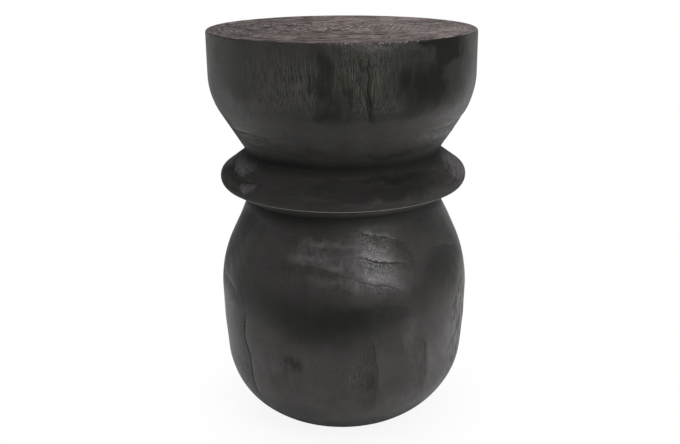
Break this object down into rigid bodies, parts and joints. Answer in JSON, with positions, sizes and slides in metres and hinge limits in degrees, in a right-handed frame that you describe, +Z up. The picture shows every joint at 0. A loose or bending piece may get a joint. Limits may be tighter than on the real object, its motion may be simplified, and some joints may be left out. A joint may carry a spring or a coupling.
{
  "type": "wooden stool",
  "caption": "Round solid wood stool: a bowl-shaped seat block and a bellied base block with a lens-shaped collar between two deep grooves, stained near black with open grain in relief.",
  "frame": {"origin": "on the floor, on the stool's vertical axis, under the middle of the base", "axes": "+Z up along the stool's turning axis, from the floor to the seat face; the stool is round, so +X and +Y are level and equal"},
  "size_m": [0.294, 0.294, 0.45],
  "materials": {
    "dark_wood": "near-black stain on wire-brushed wood, satin",
    "dowel_wood": "plain beech, unfinished",
    "glide_nylon": "moulded nylon, matt",
    "nail_steel": "bright steel"
  },
  "bodies": {
    "root": {"seat_block": "dark_wood", "collar_disc": "dark_wood", "base_block": "dark_wood", "centre_dowel": "dowel_wood", "glide_pad_1": "glide_nylon", "glide_pad_2": "glide_nylon", "glide_pad_3": "glide_nylon", "glide_pad_4": "glide_nylon", "glide_nails": "nail_steel"}
  },
  "joints": []
}
